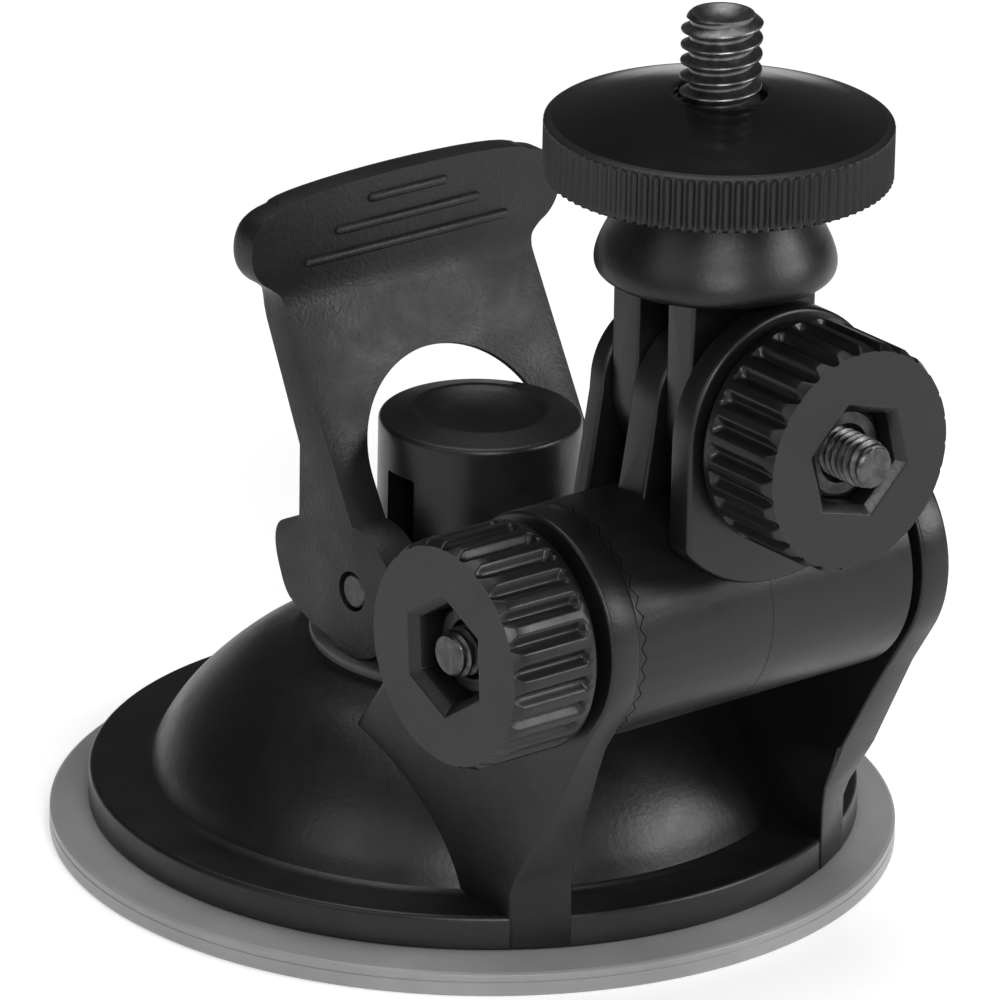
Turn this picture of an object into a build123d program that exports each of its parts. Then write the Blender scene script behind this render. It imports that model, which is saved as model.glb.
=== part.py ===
"""Suction-cup windscreen mount for a dash camera.

The origin is the centre of the suction face and +Z points away from the glass.
The tilt barrel lies along X, the locking lever stands on the +Y side, and the
fork and the camera head stand over the barrel on the -Y side.
Everything is in millimetres.
"""
import os
from math import acos, asin, atan2, cos, hypot, radians, sin

from build123d import *

os.makedirs("parts", exist_ok=True)

# ---------------------------------------------------------------- driving sizes
CUP_R = 34.1            # outer radius of the suction cup
CUP_EDGE = 1.9          # thickness of the cup at its edge
CUP_HEIGHT = 2.6        # where the housing sits on the cup
PAD_R = 10.6            # centre of the cup, pulled up by the plunger

FLANGE_R = 31.0         # housing flange
FLANGE_TOP = 5.4
DOME_R = 26.2           # foot of the dome on the flange
PLATEAU_R = 14.2        # flat ring on top of the dome
PLATEAU_Z = 16.9
WALL = 2.2              # housing wall
CEILING_Z = 14.4        # top of the hollow under the dome

POST_R = 8.15           # guide post
SHOULDER_Z = 35.6       # outer edge of the post's end
POST_TOP = 36.1         # raised rim round the dish
DISH_R = 5.2
DISH_DEPTH = 0.9
SLOT_W = 3.3            # slot for the lever pin
SLOT_TOP = 32.1
SLOT_BOTTOM = 21.4

STEM_R = 5.0            # plunger stem in the post
RUNNING = 0.08          # radial clearance of a shaft in a bore
PIN_Z = 23.3            # lever pin at rest
PIN_R = 1.4
PIN_HALF = 12.6         # half the lever pin's length
LEVER_HALF = 12.5       # half the lever's width
LEVER_X = -0.25         # the lever stands at one end of its side play on the pin
LEVER_GAP = 9.1         # half the gap between its ears

AXIS_Y = -28.4          # tilt barrel, fork and camera screw share this plane
BARREL_Z = 30.4
BARREL_R = 9.4
BARREL_LEFT = -13.6
BARREL_RIGHT = 13.4
EAR_OUT = 17.0          # outer faces of the two ears
EAR_IN = 14.2           # inner faces of the two ears
FOOT_IN = 12.7          # inner faces of the two webs at the flange

FORK_Z = 46.2           # fork bolt
PRONG_R = 6.9           # round top of an arm prong
PRONG_FOOT = 8.4        # half width of an arm prong at its foot
PRONG_T = 3.2
SIDE_T = 1.7            # the two outer prongs
GAP = 0.1               # play between neighbouring prongs
CHEEK_R = 9.5           # wide cheek on the front prong
CHEEK_T = 2.2
CHEEK_FOOT_R = 12.7

HEAD_HALF = 6.2         # half width of a head prong
HEAD_END_R = 6.1
HEAD_BOTTOM = 56.35     # underside of the round head
HEAD_R = 9.4
HEAD_NECK_R = 7.0
HEAD_TOP = 63.95

WHEEL_R = 13.55         # knurled lock wheel
WHEEL_BOTTOM = 64.15
WHEEL_RIM_TOP = 68.65
WHEEL_CREST = 70.9
WHEEL_HOLE_R = 3.5      # hole in the top of the wheel
INSERT_R = 4.5          # threaded insert in the wheel
INSERT_TOP = 69.7

STUD_R = 3.175          # 1/4 inch - 20 UNC camera screw
STUD_PITCH_R = 2.76     # pitch radius of the same thread, where the wheel runs on it
STUD_FREE = 71.3        # the free end starts above the wheel
STUD_TOP = 77.3

BOLT_R = 2.0            # M4 clamp bolts
HEX_AF = 7.0            # across flats of an M4 head or nut
NUT_T = 3.2
BOLT_HEAD_T = 2.8
WASHER_R = 4.5

KNOB_R = 9.1
KNOB_FACE_R = 8.7
KNOB_LENGTH = 8.0
KNOB_RIM = 0.9          # plain rim behind the flutes
FLUTES = 26
FLUTE_R = 0.72
KNOB1_BACK = -18.1      # x of the tilt knob's back face
KNOB2_BACK = -38.1      # y of the fork knob's back face
TILT_NUT_FACE = 2.5     # depth of the nut below the knob's face
FORK_NUT_FACE = 1.9
TILT_BOLT_END = -25.7   # x of the bolt's free end
FORK_BOLT_END = -48.0   # y of the bolt's free end
TILT_HEAD_SEAT = 16.0   # x of the tilt bolt head's seat
FORK_HEAD_SEAT = -22.4  # y of the fork bolt head's seat

# ---------------------------------------------------------------- worked out
HEX_R = HEX_AF / 2 / cos(radians(30))
POCKET_R = (HEX_AF + 0.3) / 2 / cos(radians(30))
L2_HALF = PRONG_T / 2
H_NEAR = L2_HALF + GAP                # head prongs, measured from AXIS_Y
H_FAR = H_NEAR + PRONG_T
L_NEAR = H_FAR + GAP                  # outer arm prongs
L_FAR = L_NEAR + SIDE_T
CHEEK_FAR = L_FAR + CHEEK_T


def bolt_blank(length):
    """Hex-head M4 bolt along +Z, its head's seat at z = 0, the head below it."""
    with BuildPart() as blank:
        with BuildSketch():
            RegularPolygon(HEX_R, 6, rotation=30)
        extrude(amount=-BOLT_HEAD_T)
        chamfer(blank.faces().sort_by(Axis.Z)[0].edges(), 0.4)
        with BuildSketch():
            Circle(BOLT_R - 0.02)
        extrude(amount=length)
        chamfer(blank.faces().sort_by(Axis.Z)[-1].edges(), 0.5)
    return blank.part


def nut_blank():
    """M4 nut from z = 0 to its thickness, bored to clear the bolt."""
    with BuildPart() as blank:
        with BuildSketch():
            RegularPolygon(HEX_R, 6)
            Circle(BOLT_R + 0.05, mode=Mode.SUBTRACT)
        extrude(amount=NUT_T)
        with BuildSketch(Plane.XZ):
            with BuildLine():
                Polyline((0, -1), (HEX_R - 0.7, -1), (HEX_R - 0.7, 0), (HEX_R + 0.2, 0.5),
                         (HEX_R + 0.2, NUT_T - 0.5), (HEX_R - 0.7, NUT_T),
                         (HEX_R - 0.7, NUT_T + 1), (0, NUT_T + 1), close=True)
            make_face()
        revolve(axis=Axis.Z, mode=Mode.INTERSECT)
    return blank.part


def knob_blank(nut_depth, hex_turn):
    """Fluted hand knob along +Z, back face at z = 0, with a hex pocket for its nut."""
    with BuildPart() as blank:
        with BuildSketch():
            Circle(KNOB_R)
        extrude(amount=KNOB_LENGTH)
        chamfer(blank.faces().sort_by(Axis.Z)[-1].edges(), KNOB_R - KNOB_FACE_R)
        with BuildSketch(Plane.XY.offset(KNOB_RIM)):
            with PolarLocations(KNOB_R + 0.12, FLUTES):
                Circle(FLUTE_R)
        extrude(amount=KNOB_LENGTH, mode=Mode.SUBTRACT)
        pocket_floor = KNOB_LENGTH - nut_depth - NUT_T
        with BuildSketch(Plane.XY.offset(pocket_floor)):
            RegularPolygon(POCKET_R, 6, rotation=hex_turn)
        extrude(amount=KNOB_LENGTH, mode=Mode.SUBTRACT)
        with BuildSketch(Plane.XY.offset(KNOB_LENGTH - 0.45)):
            RegularPolygon(POCKET_R, 6, rotation=hex_turn)
        with BuildSketch(Plane.XY.offset(KNOB_LENGTH + 0.05)):
            RegularPolygon(POCKET_R + 0.5, 6, rotation=hex_turn)
        loft(mode=Mode.SUBTRACT)
        with BuildSketch():
            Circle(BOLT_R + RUNNING)
        extrude(amount=KNOB_LENGTH, mode=Mode.SUBTRACT)
    return blank.part


def washer_blank(thickness):
    """Plain M4 washer from z = 0 to its thickness."""
    with BuildPart() as blank:
        with BuildSketch():
            Circle(WASHER_R)
            Circle(BOLT_R + 0.15, mode=Mode.SUBTRACT)
        extrude(amount=thickness)
    return blank.part


# Local Z of each plane is the direction in which that bolt points.
TILT_PLANE = Plane(origin=(0, AXIS_Y, BARREL_Z), x_dir=(0, 1, 0), z_dir=(-1, 0, 0))
FORK_PLANE = Plane(origin=(0, 0, FORK_Z), x_dir=(1, 0, 0), z_dir=(0, -1, 0))

# ---------------------------------------------------------------- base housing
ear_centre = (AXIS_Y, BARREL_Z)
web_back = (-6.2, 15.2)               # where the web's rear edge meets the dome
back_reach = hypot(web_back[0] - AXIS_Y, web_back[1] - BARREL_Z)
back_angle = atan2(web_back[1] - BARREL_Z, web_back[0] - AXIS_Y) + acos(BARREL_R / back_reach)
ear_back = (AXIS_Y + BARREL_R * cos(back_angle), BARREL_Z + BARREL_R * sin(back_angle))
front_angle = radians(213)
ear_front = (AXIS_Y + BARREL_R * cos(front_angle), BARREL_Z + BARREL_R * sin(front_angle))

ear_top = (AXIS_Y - 2, BARREL_Z + BARREL_R * cos(asin(2 / BARREL_R)))
OUTER_FOOT = [(-26.0, CUP_HEIGHT), (-26.0, 7.4), (-26.6, 8.8), (-29.6, 13.2), (-33.9, 21.6)]
INNER_FOOT = [(-28.4, CUP_HEIGHT), (-28.4, 8.0), (-28.6, 9.8), (-30.2, 13.8), (-33.9, 21.6)]


with BuildPart() as web:
    with BuildSketch(Plane.YZ.offset(-EAR_OUT)):
        with BuildLine():
            Polyline(*INNER_FOOT, ear_front)
            ThreePointArc(ear_front, ear_top, ear_back)
            Polyline(ear_back, web_back, (web_back[0], CUP_HEIGHT), INNER_FOOT[0])
        make_face()
    extrude(amount=EAR_OUT - FOOT_IN)
    # the front of the foot follows the round edge of the flange
    for side, foot in ((-EAR_OUT, OUTER_FOOT), (-FOOT_IN, INNER_FOOT)):
        with BuildSketch(Plane.YZ.offset(side)):
            with BuildLine():
                Polyline(*foot, (-36.0, 21.6), (-36.0, 0), (foot[0][0], 0), foot[0])
            make_face()
    loft(ruled=True, mode=Mode.SUBTRACT)
    # the web thins upwards to the thickness of the ear
    with BuildSketch(Plane.XZ):
        with BuildLine():
            Polyline((-EAR_IN, 45), (-EAR_IN, 22), (-FOOT_IN, 12), (-FOOT_IN + 1, 12),
                     (-FOOT_IN + 1, 45), close=True)
        make_face()
    extrude(amount=60, both=True, mode=Mode.SUBTRACT)

with BuildPart() as base_housing:
    with BuildSketch(Plane.XZ):
        with BuildLine():
            Polyline((0, CUP_HEIGHT), (FLANGE_R, CUP_HEIGHT), (FLANGE_R, FLANGE_TOP - 0.4),
                     (FLANGE_R - 0.4, FLANGE_TOP), (DOME_R, FLANGE_TOP))
            Spline((DOME_R, FLANGE_TOP), (24.9, 8.2), (21.6, 12.1), (17.9, 15.4),
                   (PLATEAU_R, PLATEAU_Z), tangents=((-0.25, 1), (-1, 0.12)))
            Polyline((PLATEAU_R, PLATEAU_Z), (POST_R, PLATEAU_Z), (POST_R, SHOULDER_Z - 0.7))
            ThreePointArc((POST_R, SHOULDER_Z - 0.7), (POST_R - 0.22, SHOULDER_Z - 0.2),
                          (POST_R - 0.75, SHOULDER_Z))
            Polyline((POST_R - 0.75, SHOULDER_Z), (DISH_R + 0.5, POST_TOP), (DISH_R, POST_TOP),
                     (DISH_R - 0.2, POST_TOP - 0.25), (0, POST_TOP - DISH_DEPTH), (0, CUP_HEIGHT))
        make_face()
    revolve(axis=Axis.Z)
    add(web.part)
    mirror(web.part, about=Plane.YZ)
    # hollow under the dome, and the stem's bore up through the post
    with BuildSketch(Plane.XZ):
        with BuildLine():
            Polyline((0, CUP_HEIGHT), (DOME_R - WALL, CUP_HEIGHT), (22.6, 8.0), (19.4, 11.2),
                     (15.6, 13.6), (12.0, CEILING_Z), (STEM_R + RUNNING, CEILING_Z),
                     (STEM_R + RUNNING, SLOT_TOP), (0, SLOT_TOP), close=True)
        make_face()
    revolve(axis=Axis.Z, mode=Mode.SUBTRACT)
    # slot through the post for the lever pin
    with BuildSketch(Plane.YZ):
        with Locations((0, (SLOT_TOP + SLOT_BOTTOM) / 2)):
            Rectangle(SLOT_W, SLOT_TOP - SLOT_BOTTOM)
    extrude(amount=POST_R + 1, both=True, mode=Mode.SUBTRACT)
    # bolt holes in the ears, and the hex pocket that keeps the bolt from turning
    with BuildSketch(TILT_PLANE):
        Circle(BOLT_R + 0.1)
    extrude(amount=EAR_OUT + 1, both=True, mode=Mode.SUBTRACT)
    with BuildSketch(TILT_PLANE.offset(-TILT_HEAD_SEAT)):
        RegularPolygon(POCKET_R - 0.05, 6, rotation=30)
    extrude(amount=-5, mode=Mode.SUBTRACT)
base_housing.part.label = "base_housing"
export_step(base_housing.part, "parts/base_housing.step")

with BuildPart() as cam_washer:
    with BuildSketch(Plane.XY.offset(PLATEAU_Z)):
        Circle(13.4)
        Circle(POST_R + 0.25, mode=Mode.SUBTRACT)
    extrude(amount=0.7)
    chamfer(cam_washer.faces().sort_by(Axis.Z)[-1].edges().sort_by(SortBy.RADIUS)[-1], 0.2)
cam_washer.part.label = "cam_washer"
export_step(cam_washer.part, "parts/cam_washer.step")

# ---------------------------------------------------------------- suction cup
with BuildPart() as suction_cup:
    with BuildSketch(Plane.XZ):
        with BuildLine():
            Polyline((PAD_R + 0.6, 0), (CUP_R - 0.6, 0), (CUP_R - 0.2, 0.25), (CUP_R, 0.7),
                     (CUP_R, CUP_EDGE - 0.4), (CUP_R - 0.4, CUP_EDGE), (FLANGE_R + 0.4, 2.45),
                     (FLANGE_R - 0.6, CUP_HEIGHT), (PAD_R + 4, CUP_HEIGHT), (PAD_R + 0.6, 1.8),
                     close=True)
        make_face()
    revolve(axis=Axis.Z)
suction_cup.part.label = "suction_cup"
export_step(suction_cup.part, "parts/suction_cup.step")

with BuildPart() as cup_centre:
    with BuildSketch():
        Circle(PAD_R)
    extrude(amount=2.4)
    fillet(cup_centre.faces().sort_by(Axis.Z)[-1].edges(), 0.8)
cup_centre.part.label = "suction_cup_centre"
export_step(cup_centre.part, "parts/suction_cup_centre.step")

# ---------------------------------------------------------------- plunger
with BuildPart() as plunger:
    with BuildSketch(Plane.XZ):
        with BuildLine():
            Polyline((0, 2.4), (9.4, 2.4), (9.4, 4.2), (9.0, 4.6), (STEM_R + 0.8, 4.6),
                     (STEM_R, 5.4), (STEM_R, 26.0), (STEM_R - 0.5, 26.5), (0, 26.5), close=True)
        make_face()
    revolve(axis=Axis.Z)
    with BuildSketch(Plane.YZ):
        with Locations((0, PIN_Z)):
            Circle(PIN_R)
    extrude(amount=STEM_R + 1, both=True, mode=Mode.SUBTRACT)
plunger.part.label = "plunger"
export_step(plunger.part, "parts/plunger.step")

with BuildPart() as lever_pin:
    with BuildSketch(Plane.YZ.offset(-PIN_HALF)):
        with Locations((0, PIN_Z)):
            Circle(PIN_R)
    extrude(amount=2 * PIN_HALF)
    chamfer(lever_pin.edges(), 0.25)
lever_pin.part.label = "lever_pin"
export_step(lever_pin.part, "parts/lever_pin.step")

SPRING_R = 7.2
SPRING_WIRE = 0.55
spring_length = CEILING_Z - 4.6 - 2 * SPRING_WIRE - 0.1
with BuildPart() as return_spring:
    with BuildLine() as spring_path:
        Helix(spring_length / 4, spring_length, SPRING_R,
              center=(0, 0, 4.65 + SPRING_WIRE))
    with BuildSketch(spring_path.line ^ 0):
        Circle(SPRING_WIRE)
    sweep(path=spring_path.line)
return_spring.part.label = "return_spring"
export_step(return_spring.part, "parts/return_spring.step")

# ---------------------------------------------------------------- locking lever
CAM_R = 5.5
lean_foot = (0.1, PIN_Z + 5.4)        # the plate's front face at the ears
lean_head = (9.5, PIN_Z + 21.9)       # and where the grip begins
lean = atan2(lean_head[0] - lean_foot[0], lean_head[1] - lean_foot[1])
PLATE_T = 2.2
back_foot = (lean_foot[0] + PLATE_T * cos(lean), lean_foot[1] - PLATE_T * sin(lean))
ARCH_R = LEVER_GAP
ARCH_RISE = 3.4                       # centre of the arch's round top up the plate
ARCH_FLARE = 1.3                      # how much the arch opens out behind its edge
GRIP_FRONT = 9.5
GRIP_T = 3.2
GRIP_HALF = 15.6

plate_plane = Plane(origin=(0, lean_foot[0], lean_foot[1]), x_dir=(1, 0, 0),
                    z_dir=(0, -cos(lean), sin(lean)))

with BuildPart() as lock_lever:
    # side view of the cam ears and side walls, taken over the full width
    with BuildSketch(Plane.YZ.offset(-LEVER_HALF)):
        with BuildLine():
            Polyline((2.5, PIN_Z - 4.9), (5.2, PIN_Z - 4.3), (8.2, PIN_Z - 3.0))
            Spline((8.2, PIN_Z - 3.0), (9.4, PIN_Z - 0.9), (10.0, PIN_Z + 1.2))
            Spline((10.0, PIN_Z + 1.2), (9.7, PIN_Z + 2.7), (8.6, PIN_Z + 3.5))
            Polyline((8.6, PIN_Z + 3.5), (6.9, PIN_Z + 4.3), (7.0, PIN_Z + 10.3),
                     (12.6, PIN_Z + 21.9), lean_head, lean_foot, (0, PIN_Z), (2.5, PIN_Z - 4.9))
        make_face()
        with Locations((0, PIN_Z)):
            Circle(CAM_R)
    extrude(amount=2 * LEVER_HALF)
    # gap between the ears, which the post stands in
    with BuildSketch(plate_plane.offset(12)):
        with Locations((0, ARCH_RISE)):
            Circle(ARCH_R)
        with Locations((0, ARCH_RISE - 15)):
            Rectangle(2 * ARCH_R, 30)
    extrude(amount=-40, mode=Mode.SUBTRACT)
    # the arch opens out behind its edge
    with BuildSketch(plate_plane.offset(-0.45)):
        with Locations((0, ARCH_RISE)):
            Circle(ARCH_R + ARCH_FLARE)
    extrude(amount=-8, mode=Mode.SUBTRACT)
    # open channel behind the plate, between the side walls
    with BuildSketch(Plane.YZ.offset(-LEVER_HALF + 2)):
        with BuildLine():
            Polyline(back_foot, (lean_head[0] + PLATE_T * cos(lean), lean_head[1] - PLATE_T * sin(lean)),
                     (20, lean_head[1] - PLATE_T * sin(lean)), (20, back_foot[1] - 12),
                     (back_foot[0] - 6, back_foot[1] - 12), close=True)
        make_face()
    extrude(amount=2 * LEVER_HALF - 4, mode=Mode.SUBTRACT)
    # grip
    with BuildSketch(Plane.XZ.offset(-GRIP_FRONT)):
        with BuildLine():
            ThreePointArc((-GRIP_HALF + 2.0, PIN_Z + 29.1), (0, PIN_Z + 30.4),
                          (GRIP_HALF - 2.0, PIN_Z + 29.1))
            Polyline((GRIP_HALF - 2.0, PIN_Z + 29.1), (GRIP_HALF - 0.6, PIN_Z + 28.6),
                     (GRIP_HALF, PIN_Z + 27.2), (GRIP_HALF, PIN_Z + 25.4),
                     (GRIP_HALF - 1.2, PIN_Z + 23.8), (LEVER_HALF, PIN_Z + 21.7),
                     (-LEVER_HALF, PIN_Z + 21.7), (-GRIP_HALF + 1.2, PIN_Z + 23.8),
                     (-GRIP_HALF, PIN_Z + 25.4), (-GRIP_HALF, PIN_Z + 27.2),
                     (-GRIP_HALF + 0.6, PIN_Z + 28.6), (-GRIP_HALF + 2.0, PIN_Z + 29.1))
        make_face()
    extrude(amount=-GRIP_T)
    # finger ribs on the grip
    for rib_z, rib_half in ((28.6, 4.0), (26.5, 7.3), (24.4, 10.3)):
        with BuildSketch(Plane.XZ.offset(-GRIP_FRONT - 0.2)):
            with Locations((0, PIN_Z + rib_z)):
                SlotOverall(2 * rib_half, 0.75)
        extrude(amount=0.55)
    # pin holes
    with BuildSketch(Plane.YZ):
        with Locations((0, PIN_Z)):
            Circle(PIN_R + 0.05)
    extrude(amount=LEVER_HALF + 1, both=True, mode=Mode.SUBTRACT)
lever_in_place = lock_lever.part.moved(Location((LEVER_X, 0, 0)))
lever_in_place.label = "lock_lever"
export_step(lever_in_place, "parts/lock_lever.step")

# ---------------------------------------------------------------- tilting arm
front = AXIS_Y - L_FAR                # front face of the front prong
with BuildPart() as arm_barrel:
    with BuildSketch(Plane.YZ.offset(BARREL_LEFT)):
        with Locations(ear_centre):
            Circle(BARREL_R)
    extrude(amount=BARREL_RIGHT - BARREL_LEFT)
    # three prongs of the fork
    for far, thickness in ((AXIS_Y + L_FAR, SIDE_T), (AXIS_Y + L2_HALF, PRONG_T),
                           (AXIS_Y - L_NEAR, SIDE_T)):
        with BuildSketch(Plane.XZ.offset(-far)):
            with Locations((0, FORK_Z)):
                Circle(PRONG_R)
            with BuildLine():
                Polyline((-PRONG_R, FORK_Z), (PRONG_R, FORK_Z), (PRONG_FOOT, 37),
                         (PRONG_FOOT, 32), (-PRONG_FOOT, 32), (-PRONG_FOOT, 37), close=True)
            make_face()
        extrude(amount=thickness)
    # wide cheek in front of the front prong
    with BuildSketch(Plane.XZ.offset(-front)):
        with Locations((0, FORK_Z)):
            Circle(CHEEK_R)
        with Locations((0, FORK_Z - 10)):
            Rectangle(2 * CHEEK_R, 20)
        with Locations((0, FORK_Z)):
            Circle(CHEEK_FOOT_R, mode=Mode.INTERSECT)
    extrude(amount=CHEEK_T)
    # boss for the fork bolt's head
    with BuildSketch(FORK_PLANE.offset(-(AXIS_Y + L_FAR))):
        Circle(5.6)
    extrude(amount=-1.5)
    with BuildSketch(FORK_PLANE.offset(-FORK_HEAD_SEAT)):
        RegularPolygon(POCKET_R - 0.05, 6, rotation=30)
    extrude(amount=-6, mode=Mode.SUBTRACT)
    # bores for the two bolts
    with BuildSketch(FORK_PLANE.offset(-AXIS_Y)):
        Circle(BOLT_R + 0.1)
    extrude(amount=15, both=True, mode=Mode.SUBTRACT)
    with BuildSketch(TILT_PLANE):
        Circle(BOLT_R + RUNNING)
    extrude(amount=EAR_OUT, both=True, mode=Mode.SUBTRACT)
arm_barrel.part.label = "arm_barrel"
export_step(arm_barrel.part, "parts/arm_barrel.step")

# ---------------------------------------------------------------- camera head
HEAD_AXIS = Axis((0, AXIS_Y, 0), (0, 0, 1))
with BuildPart() as camera_head:
    with BuildSketch(Plane(origin=(0, AXIS_Y, 0), x_dir=(1, 0, 0), z_dir=(0, -1, 0))):
        with BuildLine():
            Polyline((0, HEAD_BOTTOM), (HEAD_R - 0.55, HEAD_BOTTOM))
            Spline((HEAD_R - 0.55, HEAD_BOTTOM), (HEAD_R, HEAD_BOTTOM + 0.8),
                   (HEAD_R - 0.55, HEAD_BOTTOM + 2.75), (7.6, HEAD_TOP - 1.75),
                   (HEAD_NECK_R, HEAD_TOP), tangents=((1, 0.2), (-0.3, 1)))
            Polyline((HEAD_NECK_R, HEAD_TOP), (0, HEAD_TOP), (0, HEAD_BOTTOM))
        make_face()
    revolve(axis=HEAD_AXIS)
    for far in (AXIS_Y + H_FAR, AXIS_Y - H_NEAR):
        with BuildSketch(Plane.XZ.offset(-far)):
            with Locations((0, FORK_Z)):
                Circle(HEAD_END_R)
            with BuildLine():
                Polyline((-HEAD_END_R, FORK_Z), (HEAD_END_R, FORK_Z), (HEAD_HALF, HEAD_BOTTOM + 1),
                         (-HEAD_HALF, HEAD_BOTTOM + 1), close=True)
            make_face()
        extrude(amount=PRONG_T)
    with BuildSketch(FORK_PLANE.offset(-AXIS_Y)):
        Circle(BOLT_R + RUNNING)
    extrude(amount=10, both=True, mode=Mode.SUBTRACT)
    with BuildSketch(Plane.XY.offset(HEAD_BOTTOM + 1.6)):
        with Locations((0, AXIS_Y)):
            Circle(STUD_PITCH_R)
    extrude(amount=10, mode=Mode.SUBTRACT)
camera_head.part.label = "camera_head"
export_step(camera_head.part, "parts/camera_head.step")

with BuildPart() as camera_stud:
    with BuildSketch(Plane.XY.offset(HEAD_BOTTOM + 1.6)):
        with Locations((0, AXIS_Y)):
            Circle(STUD_PITCH_R)
    extrude(amount=STUD_FREE - HEAD_BOTTOM - 1.6)
    with BuildSketch(Plane.XY.offset(STUD_FREE)):
        with Locations((0, AXIS_Y)):
            Circle(STUD_R)
    extrude(amount=STUD_TOP - STUD_FREE)
    chamfer(camera_stud.faces().sort_by(Axis.Z)[-1].edges(), 0.75)
    with BuildSketch(Plane.XY.offset(STUD_TOP)):
        with Locations((0, AXIS_Y)):
            Circle(1.7)
    extrude(amount=-0.5, taper=45, mode=Mode.SUBTRACT)
camera_stud.part.label = "camera_stud"
export_step(camera_stud.part, "parts/camera_stud.step")

with BuildPart() as lock_wheel:
    with BuildSketch(Plane(origin=(0, AXIS_Y, 0), x_dir=(1, 0, 0), z_dir=(0, -1, 0))):
        with BuildLine():
            Polyline((INSERT_R, WHEEL_BOTTOM), (WHEEL_R - 0.25, WHEEL_BOTTOM),
                     (WHEEL_R, WHEEL_BOTTOM + 0.2), (WHEEL_R, WHEEL_RIM_TOP - 0.3),
                     (WHEEL_R - 0.3, WHEEL_RIM_TOP))
            Spline((WHEEL_R - 0.3, WHEEL_RIM_TOP), (8.6, 69.85), (WHEEL_HOLE_R + 0.3, WHEEL_CREST))
            Polyline((WHEEL_HOLE_R + 0.3, WHEEL_CREST), (WHEEL_HOLE_R, WHEEL_CREST - 0.2),
                     (WHEEL_HOLE_R, INSERT_TOP), (INSERT_R, INSERT_TOP), (INSERT_R, WHEEL_BOTTOM))
        make_face()
    revolve(axis=HEAD_AXIS)
lock_wheel.part.label = "lock_wheel"
export_step(lock_wheel.part, "parts/lock_wheel.step")

with BuildPart() as wheel_insert:
    with BuildSketch(Plane.XY.offset(WHEEL_BOTTOM)):
        with Locations((0, AXIS_Y)):
            Circle(INSERT_R)
            Circle(STUD_PITCH_R + 0.06, mode=Mode.SUBTRACT)
    extrude(amount=INSERT_TOP - WHEEL_BOTTOM)
wheel_insert.part.label = "wheel_insert"
export_step(wheel_insert.part, "parts/wheel_insert.step")

# ---------------------------------------------------------------- tilt clamp
TILT_TURN = -26.0       # how each knob's hex pocket is turned
FORK_TURN = 45.0

with BuildPart() as tilt_bolt:
    add(TILT_PLANE.offset(-TILT_HEAD_SEAT).location * bolt_blank(TILT_HEAD_SEAT - TILT_BOLT_END))
tilt_bolt.part.label = "tilt_bolt"
export_step(tilt_bolt.part, "parts/tilt_bolt.step")

with BuildPart() as tilt_knob:
    add(TILT_PLANE.offset(-KNOB1_BACK).location * knob_blank(TILT_NUT_FACE, TILT_TURN))
tilt_knob.part.label = "tilt_knob"
export_step(tilt_knob.part, "parts/tilt_knob.step")

tilt_nut_seat = -KNOB1_BACK + KNOB_LENGTH - TILT_NUT_FACE - NUT_T
with BuildPart() as tilt_nut:
    add(TILT_PLANE.offset(tilt_nut_seat).location * Rot(Z=TILT_TURN) * nut_blank())
tilt_nut.part.label = "tilt_nut"
export_step(tilt_nut.part, "parts/tilt_nut.step")

with BuildPart() as tilt_washer:
    add(TILT_PLANE.offset(EAR_OUT + 0.05).location * washer_blank(-KNOB1_BACK - EAR_OUT - 0.05))
tilt_washer.part.label = "tilt_washer"
export_step(tilt_washer.part, "parts/tilt_washer.step")

# ---------------------------------------------------------------- fork clamp
with BuildPart() as fork_bolt:
    add(FORK_PLANE.offset(-FORK_HEAD_SEAT).location * bolt_blank(FORK_HEAD_SEAT - FORK_BOLT_END))
fork_bolt.part.label = "fork_bolt"
export_step(fork_bolt.part, "parts/fork_bolt.step")

with BuildPart() as fork_knob:
    add(FORK_PLANE.offset(-KNOB2_BACK).location * knob_blank(FORK_NUT_FACE, FORK_TURN))
fork_knob.part.label = "fork_knob"
export_step(fork_knob.part, "parts/fork_knob.step")

fork_nut_seat = -KNOB2_BACK + KNOB_LENGTH - FORK_NUT_FACE - NUT_T
with BuildPart() as fork_nut:
    add(FORK_PLANE.offset(fork_nut_seat).location * Rot(Z=FORK_TURN) * nut_blank())
fork_nut.part.label = "fork_nut"
export_step(fork_nut.part, "parts/fork_nut.step")

cheek_face = -AXIS_Y + CHEEK_FAR
with BuildPart() as fork_washer:
    add(FORK_PLANE.offset(cheek_face + 0.05).location * washer_blank(-KNOB2_BACK - cheek_face - 0.05))
fork_washer.part.label = "fork_washer"
export_step(fork_washer.part, "parts/fork_washer.step")
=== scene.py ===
"""Suction-cup windscreen mount: the looks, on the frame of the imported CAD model.

Helpers take millimetres in the CAD's own frame and make meshes in metres.
"""
import math

import bmesh
import bpy
from mathutils import Matrix, Vector


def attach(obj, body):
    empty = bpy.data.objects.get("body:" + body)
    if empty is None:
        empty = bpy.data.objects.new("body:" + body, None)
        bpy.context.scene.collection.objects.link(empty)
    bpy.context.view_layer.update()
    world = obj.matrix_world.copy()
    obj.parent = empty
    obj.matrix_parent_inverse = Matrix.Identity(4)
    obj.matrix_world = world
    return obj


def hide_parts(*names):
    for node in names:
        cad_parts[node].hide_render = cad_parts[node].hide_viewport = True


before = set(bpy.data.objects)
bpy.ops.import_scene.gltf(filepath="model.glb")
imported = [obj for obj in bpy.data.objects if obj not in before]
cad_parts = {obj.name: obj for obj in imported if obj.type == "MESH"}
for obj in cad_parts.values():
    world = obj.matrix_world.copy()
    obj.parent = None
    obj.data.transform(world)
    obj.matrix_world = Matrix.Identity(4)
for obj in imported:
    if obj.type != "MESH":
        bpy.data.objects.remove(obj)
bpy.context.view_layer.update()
MM = 0.001
TAU = 2 * math.pi

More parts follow.
